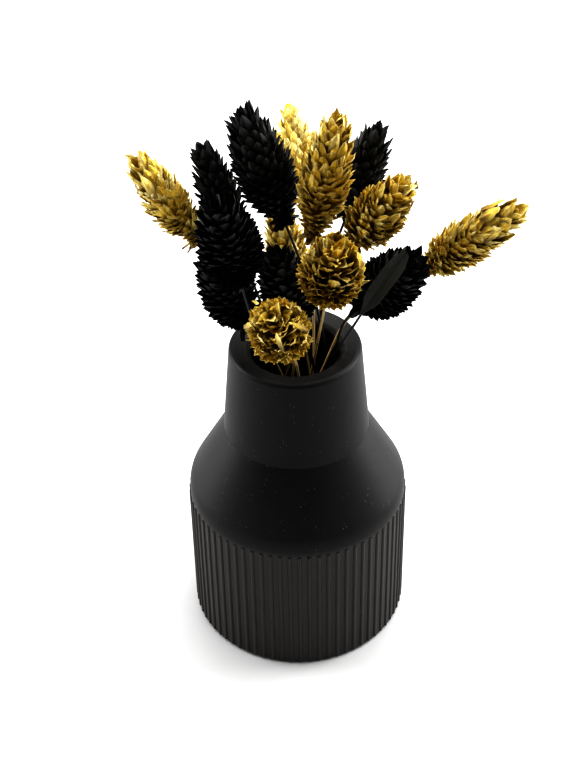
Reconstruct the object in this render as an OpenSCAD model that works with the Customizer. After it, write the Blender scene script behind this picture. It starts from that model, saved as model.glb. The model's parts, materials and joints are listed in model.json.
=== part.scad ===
// A ceramic bud vase with a ribbed base, holding fifteen dried canary-grass stems.
// The origin is the centre of the foot, on the surface that the vase stands on, and +Z is up.
// The vase is one hollow ceramic piece. Each stem is a stalk with a seed head, and draws out by itself.

/* [Vase] */
// Diameter of the body over its ribs
body_d = 70; // [69:0.5:74]
// Height from the foot to the rim
vase_h = 104; // [102:0.5:106]
// Thickness of the body wall
wall = 6; // [4:0.5:6.5]
// Thickness of the floor
floor_h = 7; // [5:0.5:7]
// Height at which the body is widest
swell_h = 50; // [47:0.5:52]
// Radius of the bend from the body into the shoulder
shoulder_r = 10; // [8:0.5:12]
// Steepness of the shoulder, in degrees above the horizontal
shoulder_slope = 61; // [58:1:62]

/* [Foot] */
// Chamfer round the edge of the foot
foot_chamfer = 0.8; // [0.4:0.1:1]

/* [Ribs] */
// Number of upright ribs round the body
rib_count = 72; // [48:4:84]
// Width of a rib
rib_w = 1.3; // [1:0.1:1.6]
// How far a rib stands out from the body
rib_h = 0.45; // [0.3:0.05:0.6]

/* [Neck and rim] */
// Diameter of the neck where it leaves the shoulder
neck_d = 45.4; // [44:0.2:48]
// Diameter of the neck at the rim
rim_d = 40.4; // [39:0.2:43]
// Diameter of the mouth
mouth_d = 26.8; // [26.4:0.2:28]
// Thickness of the neck wall at its foot
neck_wall = 6.8; // [5:0.2:7]
// Rounding of the outer edge of the rim
rim_edge = 1.5; // [0.5:0.1:2.5]
// Rounding of the inner edge of the rim
mouth_edge = 2; // [1:0.1:2.5]
// Fall of the rim from its outer edge to the mouth
rim_dish = 0.7; // [0:0.1:1.2]

/* [Stalks and leaves] */
// Diameter of a stalk
stalk_d = 1.1; // [0.9:0.1:1.4]
// Diameter of the knot at which a stalk bends
knot_d = 1.5; // [1.5:0.1:1.8]
// Height of a stalk's lower end above the floor of the vase
foot_gap = 1; // [0.6:0.1:2]
// Width of the leaf blade
leaf_w = 5; // [4:0.5:6]
// Thickness of the leaf blade
leaf_t = 0.5; // [0.3:0.1:0.7]
// Diameter of the leaf's own stalk
leaf_stalk_d = 1; // [0.9:0.1:1.3]

/* [Seed heads] */
// Rows of scales up a head
head_rows = 9; // [5:1:12]
// Height at which a head is widest, as a share of its length
head_waist = 0.35; // [0.25:0.05:0.45]
// How far each row of scales steps in below the next, as a share of the radius
row_step = 0.12; // [0.02:0.01:0.15]

/* [Hidden] */
$fn = 96;
body_r = body_d / 2;
wall_r = body_r - rib_h;
rib_r = (pow(rib_w / 2, 2) + pow(rib_h, 2)) / (2 * rib_h);
neck_r = neck_d / 2;
rim_r = rim_d / 2;
mouth_r = mouth_d / 2;
shoulder_turn = 90 - shoulder_slope;
rib_foot = 1.2;
rib_top = swell_h - 2;
floor_edge = 1.5;
stalk_foot_z = floor_h + foot_gap;

// Each stem: where its foot stands on the floor, where it bends, where its head starts,
// and the length and the diameter of the head.
FOOT = 0;
BEND = 1;
BASE = 2;
HEAD_L = 3;
HEAD_D = 4;
GOLD = [
    [[10, 23], [0, -14, 109], [-3, -34, 131], 31, 16],
    [[-7, 16], [7, -3, 109], [9, -25, 141], 29, 17],
    [[24, 8], [-12, 5, 110], [-29, 12, 135], 28, 13],
    [[-23, 11], [6, 8, 120], [18, -2, 143], 26, 15],
    [[-24, -6], [15, 2, 112], [37, -4, 133], 34, 13],
    [[-9, 3], [2, -2, 123], [6, -1, 145], 34, 14],
    [[5, -24], [6, 17, 130], [4, 26, 139], 26, 12],
    [[17, -14], [1, 13, 110], [0, 14, 116], 26, 12]
];
BLACK = [
    [[-4, 24], [-10, -8, 108], [-15, -25, 146], 35, 17],
    [[15, 9], [-13, -1, 108], [-15, -3, 115], 31, 16],
    [[7, -20], [-8, 6, 108], [-17, 11, 136], 28, 13],
    [[26, 0], [6, 5, 118], [-3, 7, 145], 33, 17],
    [[19, 8], [4, -5, 108], [1, -9, 121], 28, 16],
    [[-2, 25], [14, -6, 117], [20, -14, 129], 31, 17],
    [[-4, 7], [10, 10, 125], [16, 13, 142], 26, 14]
];

// The leaf grows from one black stem at LEAF_Z, reaches its blade at LEAF_HEEL and ends at LEAF_TIP.
LEAF_STEM = 5;
LEAF_Z = 100;
LEAF_HEEL = [18, -29, 136];
LEAF_TIP = [27, -54, 172];
LEAF_FACE = [-0.6, -0.7, -0.4];

function unit(v) = v / norm(v);

function between(p, q, share) = p + share * (q - p);

function foot_of(stem) = [stem[FOOT].x, stem[FOOT].y, stalk_foot_z];

function arc(centre, r, from, to, steps = 8) = [
    for (i = [0:steps])
        let (a = from + (to - from) * i / steps)
        centre + r * [cos(a), sin(a)]
];

// The height at which a wall that leaves the shoulder bend at radius r0, height z0 has come in to r.
function shoulder_z(r0, z0, r) = z0 + (r0 - r) * tan(shoulder_slope);

// The end of the shoulder bend at radius r round the bend's centre.
function bend_end(r) = [wall_r - shoulder_r + r * cos(shoulder_turn), swell_h + r * sin(shoulder_turn)];

// Half of the section through the vase, from the middle of the foot round to the middle of the floor.
function vase_section() =
    let (
        bend_centre = [wall_r - shoulder_r, swell_h],
        outside = bend_end(shoulder_r),
        inside = bend_end(shoulder_r - wall),
        neck_bore_r = neck_r - neck_wall
    )
    concat(
        [[0, 0], [wall_r - foot_chamfer, 0], [wall_r, foot_chamfer]],
        arc(bend_centre, shoulder_r, 0, shoulder_turn),
        [[neck_r, shoulder_z(outside.x, outside.y, neck_r)]],
        arc([rim_r - rim_edge, vase_h - rim_edge], rim_edge, 0, 90),
        arc([mouth_r + mouth_edge, vase_h - rim_dish - mouth_edge], mouth_edge, 90, 180),
        [[neck_bore_r, shoulder_z(inside.x, inside.y, neck_bore_r)]],
        arc(bend_centre, shoulder_r - wall, shoulder_turn, 0),
        arc([wall_r - wall - floor_edge, floor_h + floor_edge], floor_edge, 0, -90),
        [[0, floor_h]]
    );

// One upright rib, a low round bead that stops just under the shoulder.
module rib() {
    translate([body_r - rib_r, 0, rib_foot]) cylinder(r = rib_r, h = rib_top - rib_foot, $fn = 24);
}

module vase_body() color("#242427") {
    rotate_extrude() polygon(vase_section());
    for (i = [0:rib_count - 1]) rotate(i * 360 / rib_count) rib();
}

// Places a shape that stands on the origin so that it stands on p and points along d.
module along(p, d) {
    translate(p) rotate([0, acos(d.z), atan2(d.y, d.x)]) children();
}

module rod(p, q, d) {
    along(p, unit(q - p)) cylinder(d = d, h = norm(q - p), $fn = 24);
}

// A stalk is straight up to its knot and straight again from there to the head.
module stalk(stem, paint) color(paint) {
    rod(foot_of(stem), stem[BEND], stalk_d);
    rod(stem[BEND], stem[BASE], stalk_d);
    translate(stem[BEND]) sphere(d = knot_d, $fn = 24);
}

// Share of the full radius that a head has at the share t of its length.
function girth(t) = t < head_waist
    ? 0.5 + 0.5 * sin(90 * t / head_waist)
    : cos(90 * pow((t - head_waist) / (1.04 - head_waist), 1.5));

// A seed head: rows of scales, each row flaring a little over the foot of the next.
module seed_head(stem, paint) color(paint) {
    l = stem[HEAD_L];
    r = stem[HEAD_D] / 2;
    rows = [
        for (i = [0:head_rows - 1], top = [0, 1])
            let (t = (i + top) / head_rows)
            [r * girth(t) * (top == 1 ? 1 : 1 - row_step), l * t]
    ];
    along(stem[BASE], unit(stem[BASE] - stem[BEND]))
        rotate_extrude($fn = 48) polygon(concat([[0, 0]], rows, [[0, l]]));
}

// Share of the full width that the leaf blade has at the share t of its length.
function blade_width(t) = 0.1 + 0.9 * pow(sin(180 * pow(t, 1.3)), 0.7);

// The flat outline of the blade, with its heel at the origin and its tip along +X.
function blade_outline(l, steps = 12) = concat(
    [for (i = [0:steps]) [l * i / steps, leaf_w / 2 * blade_width(i / steps)]],
    [for (i = [steps:-1:0]) [l * i / steps, -leaf_w / 2 * blade_width(i / steps)]]
);

module leaf() color("#1a1d18") {
    stem = BLACK[LEAF_STEM];
    foot = foot_of(stem);
    start = between(foot, stem[BEND], (LEAF_Z - foot.z) / (stem[BEND].z - foot.z));
    x = unit(LEAF_TIP - LEAF_HEEL);
    y = unit(cross(LEAF_FACE, x));
    z = cross(x, y);
    rod(start, LEAF_HEEL, leaf_stalk_d);
    multmatrix([
        [x.x, y.x, z.x, LEAF_HEEL.x],
        [x.y, y.y, z.y, LEAF_HEEL.y],
        [x.z, y.z, z.z, LEAF_HEEL.z]
    ]) translate([0, 0, -leaf_t / 2]) linear_extrude(leaf_t) polygon(blade_outline(norm(LEAF_TIP - LEAF_HEEL)));
}

vase_body();
for (i = [1:len(GOLD)]) {
    stalk(GOLD[i - 1], "#c9b070");
    seed_head(GOLD[i - 1], "#b8862b");
}
for (i = [1:len(BLACK)]) {
    stalk(BLACK[i - 1], "#1c1c1a");
    seed_head(BLACK[i - 1], "#111111");
}
leaf();
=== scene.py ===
import json
import math
import random

import bpy
from mathutils import Matrix, Vector


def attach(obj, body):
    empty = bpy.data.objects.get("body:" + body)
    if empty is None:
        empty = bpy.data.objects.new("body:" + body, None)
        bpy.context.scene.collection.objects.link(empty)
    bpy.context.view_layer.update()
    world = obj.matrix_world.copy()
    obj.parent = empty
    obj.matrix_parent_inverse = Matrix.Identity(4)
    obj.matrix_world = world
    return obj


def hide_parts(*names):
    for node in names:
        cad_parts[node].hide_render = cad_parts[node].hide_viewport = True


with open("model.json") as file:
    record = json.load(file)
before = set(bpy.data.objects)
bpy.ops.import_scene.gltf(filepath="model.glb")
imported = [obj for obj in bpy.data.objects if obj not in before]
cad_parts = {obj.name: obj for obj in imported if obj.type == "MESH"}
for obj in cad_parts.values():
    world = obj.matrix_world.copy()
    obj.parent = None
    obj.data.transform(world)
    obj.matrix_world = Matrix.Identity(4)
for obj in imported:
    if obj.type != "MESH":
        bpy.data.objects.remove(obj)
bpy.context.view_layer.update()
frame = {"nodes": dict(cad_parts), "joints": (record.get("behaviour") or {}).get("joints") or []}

# Lengths are in metres. The camera is fitted to the vase, and the frame gives every other place.
MM = 0.001
UP = Vector((0, 0, 1))
GOLDEN_ANGLE = math.radians(137.508)
SHARP_ANGLE = math.radians(35)


# ---------------------------------------------------------------- camera, lights and floor

LENS_MM = 71.6
CAMERA_PLACE = Vector((-0.0024, -0.3654, 0.3822))
CAMERA_PITCH = math.radians(38.77)
CAMERA_ROLL = math.radians(-1.18)


def make_camera():
    """The camera looks down at the vase from the front, turned a little about its own axis."""
    forward = Vector((0, math.cos(CAMERA_PITCH), -math.sin(CAMERA_PITCH)))
    level = Vector((1, 0, 0))
    above = level.cross(forward)
    right = math.cos(CAMERA_ROLL) * level + math.sin(CAMERA_ROLL) * above
    top = -math.sin(CAMERA_ROLL) * level + math.cos(CAMERA_ROLL) * above
    data = bpy.data.cameras.new("camera")
    data.lens = LENS_MM
    data.sensor_width = 36
    data.clip_start = 0.01
    data.clip_end = 20
    camera = bpy.data.objects.new("camera", data)
    turn = Matrix((right, top, -forward)).transposed().to_4x4()
    camera.matrix_world = Matrix.Translation(CAMERA_PLACE) @ turn
    bpy.context.scene.collection.objects.link(camera)
    bpy.context.scene.camera = camera


def area_light(name, place, target, size, watts):
    data = bpy.data.lights.new(name, "AREA")
    data.shape = "RECTANGLE"
    data.size, data.size_y = size
    data.energy = watts
    light = bpy.data.objects.new(name, data)
    light.location = place
    light.rotation_mode = "QUATERNION"
    light.rotation_quaternion = (Vector(target) - Vector(place)).to_track_quat("-Z", "Y")
    bpy.context.scene.collection.objects.link(light)


WORLD_STRENGTH = 0.22
FLOOR_SIDE = 6
MIDDLE = (0, 0, 0.08)


def make_studio():
    """A white sweep lit softly from above and behind, so that what faces the front stays dark."""
    world = bpy.data.worlds.new("studio")
    world.use_nodes = True
    world.node_tree.nodes["Background"].inputs["Color"].default_value = (1, 1, 1, 1)
    world.node_tree.nodes["Background"].inputs["Strength"].default_value = WORLD_STRENGTH
    bpy.context.scene.world = world
    bpy.context.scene.view_settings.view_transform = "Standard"
    bpy.context.scene.view_settings.look = "Very High Contrast"
    area_light("softbox_top", (0.15, 0.35, 1.5), MIDDLE, (1.6, 1.6), 42)
    area_light("softbox_left", (-1.0, 0.3, 0.45), MIDDLE, (0.6, 0.9), 9)
    area_light("softbox_right", (1.0, 0.3, 0.45), MIDDLE, (0.6, 0.9), 11)


def make_floor():
    bpy.ops.mesh.primitive_plane_add(size=FLOOR_SIDE, location=(0, 0, 0))
    floor = bpy.context.object
    floor.name = "floor"
    floor.data.materials.append(floor_paint())


# ---------------------------------------------------------------- material helpers


class Paint:
    """A material being built: short calls for the nodes that the materials below share."""

    def __init__(self, name):
        self.material = bpy.data.materials.new(name)
        self.material.use_nodes = True
        self.tree = self.material.node_tree
        self.shader = self.tree.nodes["Principled BSDF"]

    def node(self, kind, **settings):
        made = self.tree.nodes.new(kind)
        for key, value in settings.items():
            setattr(made, key, value)
        return made

    def join(self, source, target):
        self.tree.links.new(source, target)

    def constant(self, **values):
        for key, value in values.items():
            self.shader.inputs[key.replace("_", " ")].default_value = value

    def coordinates(self, scale=(1, 1, 1)):
        place = self.node("ShaderNodeTexCoord")
        mapping = self.node("ShaderNodeMapping")
        mapping.inputs["Scale"].default_value = scale
        self.join(place.outputs["Object"], mapping.inputs["Vector"])
        return mapping.outputs["Vector"]

    def attribute(self, name):
        return self.node("ShaderNodeAttribute", attribute_name=name)

    def noise(self, vector, scale, detail=4, rough=0.55, distortion=0.0):
        made = self.node("ShaderNodeTexNoise")
        made.inputs["Scale"].default_value = scale
        made.inputs["Detail"].default_value = detail
        made.inputs["Roughness"].default_value = rough
        made.inputs["Distortion"].default_value = distortion
        self.join(vector, made.inputs["Vector"])
        return made.outputs["Fac"]

    def spots(self, vector, scale):
        made = self.node("ShaderNodeTexVoronoi")
        made.inputs["Scale"].default_value = scale
        self.join(vector, made.inputs["Vector"])
        return made

    def ramp(self, value, *stops):
        made = self.node("ShaderNodeValToRGB")
        ends = made.color_ramp.elements
        while len(ends) < len(stops):
            ends.new(0.5)
        for end, (place, colour) in zip(ends, stops):
            end.position = place
            end.color = (*colour, 1)
        self.join(value, made.inputs["Fac"])
        return made.outputs["Color"]

    def step(self, value, low, high):
        """0 below low, 1 above high."""
        made = self.node("ShaderNodeMapRange", clamp=True)
        made.inputs["From Min"].default_value = low
        made.inputs["From Max"].default_value = high
        self.join(value, made.inputs["Value"])
        return made.outputs["Result"]

    def scaled(self, value, low, high):
        """0 to 1 made into low to high."""
        made = self.node("ShaderNodeMapRange", clamp=True)
        made.inputs["To Min"].default_value = low
        made.inputs["To Max"].default_value = high
        self.join(value, made.inputs["Value"])
        return made.outputs["Result"]

    def maths(self, operation, a, b):
        made = self.node("ShaderNodeMath", operation=operation)
        for socket, value in zip(made.inputs, (a, b)):
            if isinstance(value, (int, float)):
                socket.default_value = value
            else:
                self.join(value, socket)
        return made.outputs["Value"]

    def mix(self, share, a, b):
        """a where share is 0 and b where it is 1."""
        made = self.node("ShaderNodeMix", data_type="RGBA")
        sockets = (made.inputs["Factor"], made.inputs[6], made.inputs[7])
        for socket, value in zip(sockets, (share, a, b)):
            if isinstance(value, (int, float)):
                socket.default_value = value
            elif isinstance(value, tuple):
                socket.default_value = (*value, 1)
            else:
                self.join(value, socket)
        return made.outputs[2]

    def bump(self, height, strength, distance, normal=None):
        made = self.node("ShaderNodeBump")
        made.inputs["Strength"].default_value = strength
        made.inputs["Distance"].default_value = distance
        self.join(height, made.inputs["Height"])
        if normal is not None:
            self.join(normal, made.inputs["Normal"])
        return made.outputs["Normal"]


FLOOR_TONES = ((0.51, 0.51, 0.51), (0.53, 0.53, 0.53))


def floor_paint():
    """A plain floor that the lights make white, but for the soft shadow round the vase."""
    paint = Paint("floor_paint")
    grain = paint.noise(paint.coordinates(), 40)
    colour = paint.ramp(grain, (0.3, FLOOR_TONES[0]), (0.7, FLOOR_TONES[1]))
    paint.join(colour, paint.shader.inputs["Base Color"])
    paint.constant(Roughness=0.9)
    return paint.material


GLAZE_TONES = ((0.0095, 0.0095, 0.0097), (0.0150, 0.0148, 0.0145))
# Painted light: the ribbed wall is coloured paler, standing in for the floor's light falling on the
# upright ribs.
RIB_PAINTED_LIGHT = (0.058, 0.055, 0.0525)
RIB_PAINTED_LIGHT_SHARE = 0.8
# The heights between which the glaze's tone gives way to the painted light of the ribs.
RIB_FADE = (0.0500, 0.0479)
DUST_TONE = (0.16, 0.16, 0.155)
SCUFF_TONE = (0.10, 0.10, 0.098)


def ceramic_paint():
    """Matt black ceramic, with painted light making the ribbed lower wall paler, a fine grain, dust
    specks and a few pale scuffs.
    """
    paint = Paint("vase_ceramic")
    place = paint.coordinates()
    cloud = paint.noise(place, 35, detail=5)
    colour = paint.ramp(cloud, (0.3, GLAZE_TONES[0]), (0.7, GLAZE_TONES[1]))

    height = paint.node("ShaderNodeSeparateXYZ")
    paint.join(place, height.inputs["Vector"])
    # Painted light: from the top of the ribs down, the glaze is mixed towards the paler rib colour.
    rib_light = paint.step(height.outputs["Z"], *RIB_FADE)
    colour = paint.mix(paint.maths("MULTIPLY", rib_light, RIB_PAINTED_LIGHT_SHARE), colour, RIB_PAINTED_LIGHT)

    specks = paint.spots(place, 800)
    near = paint.step(specks.outputs["Distance"], 0.16, 0.06)
    chosen = paint.noise(place, 260, detail=1)
    dust = paint.maths("MULTIPLY", near, paint.step(chosen, 0.56, 0.68))
    colour = paint.mix(dust, colour, DUST_TONE)

    smear_place = paint.coordinates((1, 1, 0.25))
    smear = paint.noise(smear_place, 60, detail=8, rough=0.7, distortion=0.6)
    scuff = paint.maths("MULTIPLY", paint.step(smear, 0.66, 0.78), 0.25)
    colour = paint.mix(scuff, colour, SCUFF_TONE)
    paint.join(colour, paint.shader.inputs["Base Color"])

    grain = paint.noise(place, 2600, detail=3, rough=0.6)
    rough = paint.scaled(cloud, 0.42, 0.56)
    rough = paint.maths("ADD", rough, paint.maths("MULTIPLY", scuff, 0.5))
    paint.join(rough, paint.shader.inputs["Roughness"])
    normal = paint.bump(grain, 0.25, 0.0001)
    waves = paint.noise(place, 90, detail=2)
    normal = paint.bump(waves, 0.12, 0.0004, normal)
    paint.join(normal, paint.shader.inputs["Normal"])
    paint.constant(Specular_IOR_Level=0.27)
    return paint.material


GOLD_TONES = ((0.60, 0.42, 0.06), (0.88, 0.67, 0.15), (0.95, 0.83, 0.38))
GOLD_STREAK = (0.34, 0.21, 0.03)
# Painted highlight: a pale cream laid on the scales' outer edges and tips.
GOLD_EDGE_HIGHLIGHT = (1.0, 0.92, 0.62)
# Painted shade: the dark brown laid on the scales towards their roots, in the gaps between them.
SCALE_ROOT_SHADE = (0.12, 0.058, 0.008)


def gold_scale_paint():
    """Dry scales sprayed gold: fibrous, with painted highlights in cream at the edges, and painted shade
    in dark brown towards the roots between the scales.
    """
    paint = Paint("gold_head")
    place = paint.coordinates()
    tone = paint.attribute("tone").outputs["Fac"]
    depth = paint.attribute("depth").outputs["Fac"]
    edge = paint.attribute("edge").outputs["Fac"]
    fibre_place = paint.attribute("grain").outputs["Vector"]
    fibre = paint.noise(fibre_place, 2.4, detail=5, rough=0.7, distortion=0.4)
    blotch = paint.noise(place, 420, detail=4, rough=0.65)
    shade = paint.maths("ADD", paint.maths("MULTIPLY", tone, 0.5), paint.maths("MULTIPLY", blotch, 0.5))
    gold = paint.ramp(shade, *zip((0.2, 0.45, 0.7), GOLD_TONES))
    streak = paint.step(fibre, 0.52, 0.36)
    gold = paint.mix(paint.maths("MULTIPLY", streak, 0.55), gold, GOLD_STREAK)
    # Painted highlight along the outer edges of the scales.
    edge_highlight = paint.maths("MULTIPLY", paint.step(edge, 0.75, 1.0), paint.step(depth, 0.4, 0.8))
    gold = paint.mix(paint.maths("MULTIPLY", edge_highlight, 0.45), gold, GOLD_EDGE_HIGHLIGHT)
    # Painted shade towards the roots of the scales; the metal is also turned down there.
    deep_shade = paint.step(depth, 0.62, 0.15)
    colour = paint.mix(paint.maths("MULTIPLY", deep_shade, 0.8), gold, SCALE_ROOT_SHADE)
    paint.join(colour, paint.shader.inputs["Base Color"])
    metal = paint.maths("MULTIPLY", paint.scaled(deep_shade, 0.6, 0.1), paint.step(blotch, 0.25, 0.4))
    paint.join(metal, paint.shader.inputs["Metallic"])
    paint.join(paint.scaled(fibre, 0.22, 0.5), paint.shader.inputs["Roughness"])
    normal = paint.bump(fibre, 0.9, 0.0006)
    normal = paint.bump(paint.noise(place, 1300, detail=4, rough=0.75), 0.7, 0.0003, normal)
    paint.join(normal, paint.shader.inputs["Normal"])
    return paint.material


BLACK_TONES = ((0.003, 0.0033, 0.0033), (0.013, 0.0145, 0.014))
# Painted sheen: a faint greenish grey laid on the outer edges of the scales.
BLACK_EDGE_SHEEN = (0.075, 0.09, 0.078)


def black_scale_paint():
    """Dyed black scales: papery, with a painted greenish grey sheen on their edges, and fine lengthwise
    fibres.
    """
    paint = Paint("black_head")
    place = paint.coordinates()
    tone = paint.attribute("tone").outputs["Fac"]
    depth = paint.attribute("depth").outputs["Fac"]
    edge = paint.attribute("edge").outputs["Fac"]
    fibre_place = paint.attribute("grain").outputs["Vector"]
    fibre = paint.noise(fibre_place, 5, detail=4, rough=0.6)
    blotch = paint.noise(place, 500, detail=3)
    shade = paint.maths("MULTIPLY", paint.maths("ADD", tone, blotch), 0.5)
    black = paint.ramp(shade, (0.25, BLACK_TONES[0]), (0.8, BLACK_TONES[1]))
    # Painted sheen on the outer edges of the scales, in patches.
    edge_sheen = paint.maths("MULTIPLY", paint.step(edge, 0.6, 1.0), paint.step(depth, 0.5, 1.0))
    edge_sheen = paint.maths("MULTIPLY", edge_sheen, paint.step(blotch, 0.4, 0.65))
    colour = paint.mix(paint.maths("MULTIPLY", edge_sheen, 0.6), black, BLACK_EDGE_SHEEN)
    paint.join(colour, paint.shader.inputs["Base Color"])
    paint.join(paint.scaled(fibre, 0.45, 0.7), paint.shader.inputs["Roughness"])
    normal = paint.bump(fibre, 0.5, 0.0002)
    paint.join(normal, paint.shader.inputs["Normal"])
    paint.constant(Specular_IOR_Level=0.45)
    return paint.material


def stalk_paint(name, low, high, roughness):
    """A grass stalk: lengthwise streaks and uneven tone."""
    paint = Paint(name)
    streak_place = paint.attribute("grain").outputs["Vector"]
    streak = paint.noise(streak_place, 3, detail=4, rough=0.6)
    colour = paint.ramp(streak, (0.3, low), (0.7, high))
    knot = paint.attribute("edge").outputs["Fac"]
    colour = paint.mix(paint.maths("MULTIPLY", knot, 0.6), colour, tuple(0.45 * c for c in low))
    paint.join(colour, paint.shader.inputs["Base Color"])
    paint.join(paint.scaled(streak, roughness, roughness + 0.2), paint.shader.inputs["Roughness"])
    paint.join(paint.bump(streak, 0.4, 0.0001), paint.shader.inputs["Normal"])
    return paint.material


LEAF_TONES = ((0.0028, 0.0036, 0.0029), (0.007, 0.0088, 0.007))
# Painted highlight: the lighter colour laid along the veins.
LEAF_VEIN_HIGHLIGHT = (0.017, 0.021, 0.016)


def leaf_paint():
    """A dried black leaf: parallel veins, bumped and painted lighter as highlights, and a dull green
    cast between them.
    """
    paint = Paint("black_leaf")
    place = paint.attribute("grain").outputs["Vector"]
    veins = paint.node("ShaderNodeTexWave", wave_type="BANDS", bands_direction="X", wave_profile="SIN")
    veins.inputs["Scale"].default_value = 2.2
    veins.inputs["Distortion"].default_value = 0.6
    veins.inputs["Detail"].default_value = 2
    paint.join(place, veins.inputs["Vector"])
    ridge = veins.outputs["Fac"]
    cloud = paint.noise(paint.coordinates(), 300, detail=4)
    base = paint.ramp(cloud, (0.3, LEAF_TONES[0]), (0.75, LEAF_TONES[1]))
    colour = paint.mix(paint.scaled(ridge, 0.0, 0.5), base, LEAF_VEIN_HIGHLIGHT)
    paint.join(colour, paint.shader.inputs["Base Color"])
    paint.join(paint.scaled(cloud, 0.42, 0.62), paint.shader.inputs["Roughness"])
    paint.join(paint.bump(ridge, 0.5, 0.0002), paint.shader.inputs["Normal"])
    return paint.material


# ---------------------------------------------------------------- stems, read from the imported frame


# Wider than a stalk, and narrower than the gap between its knot and its ends.
STALK_SPAN = 1.6 * MM
SAME_LEVEL = 0.05 * MM


class Stem:
    """Where a stem's foot, knot, head base and head tip are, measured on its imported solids."""

    def __init__(self, kind, number):
        self.name = f"{kind}_{number}"
        self.kind = kind
        self.body = f"{kind}_stem_{number}"
        self.stalk_node = f"{kind}_stalk_{number}"
        self.head_node = f"{kind}_head_{number}"
        joint = next(j for j in frame["joints"] if j["child"] == self.body)
        self.lower_way = Vector(joint["axis"]).normalized()
        stalk = [v.co.copy() for v in frame["nodes"][self.stalk_node].data.vertices]
        head = [v.co.copy() for v in frame["nodes"][self.head_node].data.vertices]
        self.foot = end_centre(stalk, -self.lower_way)
        far = max(stalk, key=lambda p: (p - self.foot).length)
        self.base = middle([p for p in stalk if (p - far).length < STALK_SPAN])
        ends = (self.foot, self.base)
        ball = [p for p in stalk if all((p - end).length > STALK_SPAN for end in ends)]
        self.knot = self.foot + (middle(ball) - self.foot).dot(self.lower_way) * self.lower_way
        self.upper_way = (self.base - self.knot).normalized()
        self.length = max((p - self.base).dot(self.upper_way) for p in head)
        self.tip = self.base + self.length * self.upper_way
        self.radius = max(((p - self.base).cross(self.upper_way)).length for p in head)


def middle(points):
    return sum(points, Vector()) / len(points)


def end_centre(points, way):
    """The middle of the points that lie furthest along way."""
    reach = max(p.dot(way) for p in points)
    return middle([p for p in points if p.dot(way) > reach - SAME_LEVEL])


# ---------------------------------------------------------------- meshes


class Shell:
    """The points and faces of one piece, with the numbers that its material reads at each point."""

    def __init__(self):
        self.points, self.faces = [], []
        self.tone, self.depth, self.edge, self.grain = [], [], [], []

    def add(self, point, tone=0.5, depth=1.0, edge=0.0, grain=(0, 0, 0)):
        self.points.append(tuple(point))
        self.tone.append(tone)
        self.depth.append(depth)
        self.edge.append(edge)
        self.grain.append(grain)
        return len(self.points) - 1

    def face(self, *corners):
        self.faces.append(corners)

    def piece(self, name, body, material, slot, *replaced):
        """Makes the piece, which rides body and stands in for the CAD nodes in replaced."""
        mesh = bpy.data.meshes.new(name)
        mesh.from_pydata(self.points, [], self.faces)
        for label, values in (("tone", self.tone), ("depth", self.depth), ("edge", self.edge)):
            mesh.attributes.new(label, "FLOAT", "POINT").data.foreach_set("value", values)
        flat = [x for triple in self.grain for x in triple]
        mesh.attributes.new("grain", "FLOAT_VECTOR", "POINT").data.foreach_set("vector", flat)
        mesh.validate()
        mesh.materials.append(material)
        mesh.shade_smooth()
        mesh.set_sharp_from_angle(angle=SHARP_ANGLE)
        made = bpy.data.objects.new(name, mesh)
        bpy.context.scene.collection.objects.link(made)
        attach(made, body)
        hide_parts(*replaced)


def axes_round(way):
    """Two directions square to way and to each other."""
    side = way.cross(UP if abs(way.z) < 0.9 else Vector((1, 0, 0))).normalized()
    return side, way.cross(side).normalized()


def tube(shell, route, radius_at, grain_seed=0.0, knot_at=None, sides=12):
    """A closed round tube along route; radius_at and knot_at take the share of the way along."""
    side, _ = axes_round((route[1] - route[0]).normalized())
    rings = []
    travelled = 0.0
    total = sum((b - a).length for a, b in zip(route, route[1:]))
    for i, point in enumerate(route):
        ahead = route[min(i + 1, len(route) - 1)]
        behind = route[max(i - 1, 0)]
        way = (ahead - behind).normalized()
        side = (side - side.dot(way) * way).normalized()
        other = way.cross(side)
        if i:
            travelled += (point - route[i - 1]).length
        share = travelled / total
        knot = knot_at(share) if knot_at else 0.0
        ring = []
        for k in range(sides):
            a = 2 * math.pi * k / sides
            out = math.cos(a) * side + math.sin(a) * other
            grain = (math.cos(a) * 2, math.sin(a) * 2, travelled * 60 + grain_seed)
            ring.append(shell.add(point + out * radius_at(share), edge=knot, grain=grain))
        rings.append(ring)
    for low, high in zip(rings, rings[1:]):
        for k in range(sides):
            n = (k + 1) % sides
            shell.face(low[k], low[n], high[n], high[k])
    shell.face(*reversed(rings[0]))
    shell.face(*rings[-1])


SCALE_THICK = 0.25 * MM
# Along a scale: the share of its length, and the share of its half width there.
SCALE_ROWS = ((0.0, 0.50), (0.2, 0.85), (0.4, 1.0), (0.58, 0.93), (0.74, 0.72), (0.88, 0.40), (1.0, 0.0))
# Across a scale: the place from edge to edge, and the share of the keel's height there.
SCALE_COLUMNS = ((-1.0, 0.0), (-0.5, 0.58), (0.0, 1.0), (0.5, 0.58), (1.0, 0.0))


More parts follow.
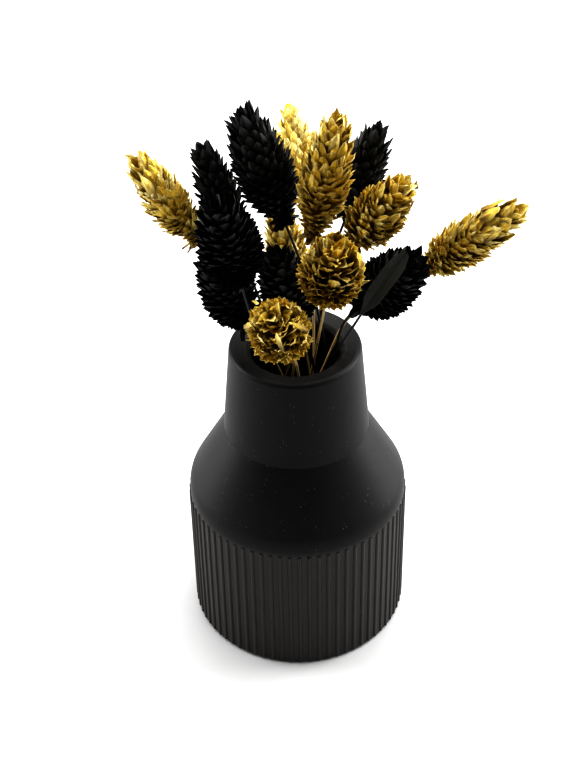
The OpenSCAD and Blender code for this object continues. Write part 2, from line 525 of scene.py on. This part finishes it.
def add_scale(shell, tip, out, along, across, size, curl, look):
    """One boat-shaped scale with a keel, from its root to the point at tip. It curls outward by curl."""
    length, width = size
    root = tip - along * length - out * (curl * length)
    tone = random.random()
    seed = random.uniform(0, 50)
    rough = look["crumple"] * MM
    outer, inner = [], []
    for i, (share, half) in enumerate(SCALE_ROWS):
        spine = root + along * (length * share) + out * (curl * length * share * share)
        rise = look["keel"] * width * (0.6 + 1.2 * share - 1.5 * share * share)
        columns = SCALE_COLUMNS if half else ((0.0, 1.0),)
        ring, under = [], []
        for u, fold in columns:
            stray = Vector([random.gauss(0, rough) for _ in range(3)]) * min(1.0, half * 1.5)
            point = spine + across * (width / 2 * half * u) + out * (rise * fold) + stray
            if half and abs(u) == 1:
                point += along * random.uniform(-1, 1) * look["ragged"] * width
            grain = (u * 1.2 + seed, share * 0.4, seed * 0.7)
            edge = max(abs(u), (share - 0.5) * 2)
            ring.append(shell.add(point, tone, share, edge, grain))
            if half and abs(u) < 1 and i:
                # The inner face counts as deeper, so it takes more painted shade and less painted edge
                # light.
                under.append(shell.add(point - out * SCALE_THICK, tone, share * 0.7, 0, grain))
            else:
                under.append(ring[-1])
        outer.append(ring)
        inner.append(under)
    for sheet, turned in ((outer, False), (inner, True)):
        for low, high in zip(sheet, sheet[1:]):
            for k in range(len(low) - 1):
                upper = [high[k + 1], high[k]] if len(high) > 1 else [high[0]]
                loop = [low[k], low[k + 1], *upper]
                shell.face(*(reversed(loop) if turned else loop))


HEAD_SHARES = (-0.02, 1.07)
WIDEST = 0.4


def girth(share):
    """Share of a head's full radius that the points of its scales reach at a share of its length."""
    if share < 0.0:
        return 0.4 + 15 * share
    if share < WIDEST:
        return 0.4 + 0.6 * math.sin(math.pi / 2 * share / WIDEST)
    if share < 1.0:
        return 1 - 0.5 * ((share - WIDEST) / (1 - WIDEST)) ** 2
    return max(0.5 * (HEAD_SHARES[1] - share) / (HEAD_SHARES[1] - 1), 0.02)


def spaced_shares(stem, pitch):
    """Shares of a head's length for scales that stand pitch apart all over its surface."""
    low, high = HEAD_SHARES
    steps = 400
    area = [0.0]
    for i in range(steps):
        a, b = (low + (high - low) * (i + k) / steps for k in (0, 1))
        ra, rb = stem.radius * girth(a), stem.radius * girth(b)
        area.append(area[-1] + math.pi * (ra + rb) * math.hypot(rb - ra, stem.length * (b - a)))
    count = round(area[-1] / pitch ** 2)
    shares = []
    i = 0
    for k in range(count):
        wanted = area[-1] * (k + 0.5) / count
        while area[i + 1] < wanted:
            i += 1
        part = (i + (wanted - area[i]) / (area[i + 1] - area[i])) / steps
        shares.append(low + (high - low) * part)
    return shares


# How the scales of a kind of head are set: pitch, length and width in mm, keel as a share of the
# width, ragged edges, crumpled faces in mm, looseness in degrees, and the shares that are split
# off as slivers or missing.
HEADS = {
    "gold": dict(
        pitch=2.3,
        length=7.4,
        width=3.3,
        keel=0.28,
        ragged=0.12,
        crumple=0.12,
        loose=12,
        slivers=0.4,
        missing=0.0,
    ),
    "black": dict(
        pitch=2.5,
        length=7.8,
        width=3.3,
        keel=0.32,
        ragged=0.02,
        crumple=0.02,
        loose=6,
        slivers=0.0,
        missing=0.02,
    ),
}
# From CROWN_FROM of its length a head's scales are longer and looser, and rise by up to CROWN_LIFT mm.
CROWN_FROM = 0.8
CROWN_LIFT = 2.6
# The lean of a scale away from the head's axis, in degrees: at the tip, and how much more at the base.
LEAN_AT_TIP = 14
LEAN_GAIN = 60
# How far out the points of the scales stand, as a share of the head's radius.
SCALE_REACH = 1.06
SLIVER_WIDTH = 0.4


def make_head(stem, materials):
    """A seed head: a core, and overlapping scales set round it in a spiral that opens outward."""
    style = HEADS[stem.kind]
    shell = Shell()
    way = stem.upper_way
    side, other = axes_round(way)
    add_core(shell, stem, way, side, other)
    turn = random.uniform(0, 2 * math.pi)
    for share in spaced_shares(stem, style["pitch"] * MM):
        turn += GOLDEN_ANGLE
        if random.random() < style["missing"]:
            continue
        crown = max(share - CROWN_FROM, 0) / (1 - CROWN_FROM)
        slivers = 1 if random.random() < style["slivers"] else 0
        for sliver in range(1 + slivers):
            loose = style["loose"] * (1 + 0.6 * sliver)
            place = share + random.uniform(-0.012, 0.012)
            angle = turn + math.radians(random.gauss(0, 0.4 * loose)) + 0.5 * sliver
            round_way = math.cos(angle) * side + math.sin(angle) * other
            lean = LEAN_AT_TIP + LEAN_GAIN * max(1 - place, 0) ** 1.2
            lean = math.radians(lean + random.gauss(0, 0.6 * loose * (1 + 0.7 * crown)))
            along = math.cos(lean) * way + math.sin(lean) * round_way
            out = math.cos(lean) * round_way - math.sin(lean) * way
            twist = math.radians(random.gauss(0, 1.2 * loose))
            across = math.cos(twist) * along.cross(out) + math.sin(twist) * out
            out = across.cross(along)
            reach = stem.radius * girth(place) * SCALE_REACH + random.gauss(0, 0.03 * loose) * MM
            lift = random.uniform(0, CROWN_LIFT) * MM * crown
            tip = stem.base + way * (stem.length * place + lift) + round_way * reach
            size = random.uniform(0.88, 1.12) * (0.8 + 0.2 * girth(place) + 0.2 * crown)
            width = style["width"] * size * (SLIVER_WIDTH if sliver else 1)
            extent = (style["length"] * size * MM, width * MM)
            add_scale(shell, tip, out, along, across, extent, random.uniform(-0.02, 0.12), style)
    slot = f"{stem.kind}_head"
    shell.piece(f"{stem.name}_seed_head", stem.body, materials[slot], slot, stem.head_node)


CORE_GIRTH = 0.6
CORE_LENGTH = 0.88


def add_core(shell, stem, way, side, other):
    """The closed middle of a head, which shows only as dark between the scales; on a gold head its depth
    of 0 gives it the painted shade of the scales' roots.
    """
    rings = []
    sides, levels = 16, 12
    for i in range(levels + 1):
        share = i / levels
        radius = stem.radius * CORE_GIRTH * girth(share) * (1 if share < 0.95 else 0.3)
        centre = stem.base + way * (stem.length * CORE_LENGTH * share)
        ring = []
        for k in range(sides):
            a = 2 * math.pi * k / sides
            out = math.cos(a) * side + math.sin(a) * other
            grain = (math.cos(a), math.sin(a), share * 3)
            ring.append(shell.add(centre + out * radius, 0.2, 0.0, 0.0, grain))
        rings.append(ring)
    for low, high in zip(rings, rings[1:]):
        for k in range(sides):
            n = (k + 1) % sides
            shell.face(low[k], low[n], high[n], high[k])
    shell.face(*reversed(rings[0]))
    shell.face(*rings[-1])


def bent_route(points, bend, steps=14):
    """Points along foot, knot and head base, with the corner at the knot rounded off over bend."""
    foot, knot, base = points
    start = knot + (foot - knot).normalized() * bend
    end = knot + (base - knot).normalized() * bend
    low = [foot.lerp(start, i / steps) for i in range(steps)]
    arc = [start.lerp(knot, t).lerp(knot.lerp(end, t), t) for t in [i / 10 for i in range(11)]]
    high = [end.lerp(base, i / steps) for i in range(1, steps + 1)]
    return low + arc + high


# Radii in mm. The taper is what a stalk loses from its foot to its head.
STALK_RADIUS = 0.50
STALK_TAPER = 0.12
KNOT_SWELLING = 0.08
KNOT_LENGTH = 0.9 * MM
LONGEST_BEND = 7 * MM
INTO_HEAD = 1.5 * MM
STALK_SLOTS = {"gold": "straw_stalk", "black": "black_stalk"}


def make_stalk(stem, materials):
    """A tapering stalk from the floor of the vase into the head, curved and swollen at its knot."""
    shell = Shell()
    bend = min(LONGEST_BEND, (stem.base - stem.knot).length * 0.6)
    top = stem.base + stem.upper_way * INTO_HEAD
    route = bent_route((stem.foot, stem.knot, top), bend)
    total = sum((b - a).length for a, b in zip(route, route[1:]))
    knot_share = (stem.knot - stem.foot).length / total - 0.02

    def knot_at(share):
        return math.exp(-((share - knot_share) * total / KNOT_LENGTH) ** 2)

    def radius_at(share):
        return (STALK_RADIUS - STALK_TAPER * share) * MM + KNOT_SWELLING * MM * knot_at(share)

    tube(shell, route, radius_at, random.uniform(0, 90), knot_at)
    slot = STALK_SLOTS[stem.kind]
    shell.piece(f"{stem.name}_stalk", stem.body, materials[slot], slot, stem.stalk_node)


BLADE_THICK = 0.35 * MM
BLADE_FOLD = 0.42
BLADE_BOW = 1.2 * MM
BLADE_DROOP = 0.8 * MM
DROOP_FROM = 0.7
ROUND_FROM = 0.78
LEAF_STALK_SPAN = 1.3 * MM
BLADE_STEPS = 44
BLADE_COLUMNS = [k / 6 for k in range(-6, 7)]


def blade_width(share):
    """Share of the leaf's full width at a share of its length: a strap with a blunt, rounded end."""
    heel = min(share / 0.4, 1.0)
    width = 0.25 + 0.75 * heel * heel * (3 - 2 * heel)
    if share > ROUND_FROM:
        part = (share - ROUND_FROM) / (1 - ROUND_FROM)
        width *= 0.96 * math.sqrt(max(1 - part * part, 0.0)) + 0.04 * (1 - part)
    return max(width, 0.02)


def leaf_places():
    """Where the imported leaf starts, its heel, its tip, the way across its blade, and its width."""
    points = [v.co.copy() for v in frame["nodes"]["leaf"].data.vertices]
    lowest = min(points, key=lambda p: p.z)
    start = middle([p for p in points if (p - lowest).length < LEAF_STALK_SPAN])
    far = max(points, key=lambda p: (p - start).length)
    tip = middle([p for p in points if (p - far).length < 1 * MM])
    near = [p for p in points if 2 * MM < (p - tip).length < 20 * MM]
    way = (tip - middle(near)).normalized()
    on_blade = [p for p in points if (p - tip).cross(way).length < 1.2 * MM]
    heel = tip + way * min((p - tip).dot(way) for p in on_blade)
    wide = max(near, key=lambda p: (p - tip).cross(way).length) - tip
    across = (wide - wide.dot(way) * way).normalized()
    width = 2 * max((p - tip).cross(way).length for p in near)
    return start, heel, tip, across, width


def make_leaf(stem, materials):
    """A long narrow leaf on a thin stalk of its own, folded along its midrib and arched a little."""
    start, heel, tip, across, width = leaf_places()
    shell = Shell()
    way = (tip - heel).normalized()
    face = across.cross(way)
    if face.y > 0:
        across, face = -across, -face
    length = (tip - heel).length
    route = bent_route((start, heel, heel + way * (0.12 * length)), 6 * MM, steps=10)
    tube(shell, route, lambda share: (0.48 - 0.16 * share) * MM, 3.0, sides=10)
    upper, lower = [], []
    for i in range(BLADE_STEPS + 1):
        share = i / BLADE_STEPS
        half = width / 2 * blade_width(share)
        bow = math.sin(math.pi * share) * BLADE_BOW
        droop = BLADE_DROOP * (max(share - DROOP_FROM, 0) / (1 - DROOP_FROM)) ** 2
        spine = heel + way * (length * share) + face * (bow - droop)
        top, under = [], []
        for u in BLADE_COLUMNS:
            ripple = 0.05 * MM * math.sin(u * 21) * (1 - u * u)
            lift = BLADE_FOLD * half * (abs(u) - 0.5 * u * u) + ripple
            point = spine + across * (half * u * 0.96) + face * lift
            grain = (u * 2, share * 1.2, 0.0)
            top.append(shell.add(point, edge=abs(u), grain=grain))
            if abs(u) == 1 or i in (0, BLADE_STEPS):
                under.append(top[-1])
            else:
                under.append(shell.add(point - face * BLADE_THICK, edge=abs(u), grain=grain))
        upper.append(top)
        lower.append(under)
    for sheet, turned in ((upper, False), (lower, True)):
        for low, high in zip(sheet, sheet[1:]):
            for k in range(len(BLADE_COLUMNS) - 1):
                loop = [low[k], low[k + 1], high[k + 1], high[k]]
                shell.face(*(reversed(loop) if turned else loop))
    shell.piece("leaf_blade", stem.body, materials["black_leaf"], "black_leaf", "leaf")


# ---------------------------------------------------------------- the object

make_camera()
make_studio()
make_floor()
random.seed(7)

materials = {
    "gold_head": gold_scale_paint(),
    "black_head": black_scale_paint(),
    "straw_stalk": stalk_paint("straw_stalk", (0.30, 0.20, 0.08), (0.62, 0.48, 0.25), 0.35),
    "black_stalk": stalk_paint("black_stalk", (0.004, 0.004, 0.004), (0.016, 0.017, 0.014), 0.45),
    "black_leaf": leaf_paint(),
}

vase = frame["nodes"]["vase_body"]
vase.data.materials.clear()
vase.data.materials.append(ceramic_paint())

stems = [Stem("gold", n) for n in range(1, 9)] + [Stem("black", n) for n in range(1, 8)]
for stem in stems:
    make_stalk(stem, materials)
    make_head(stem, materials)
make_leaf(next(stem for stem in stems if stem.name == "black_6"), materials)
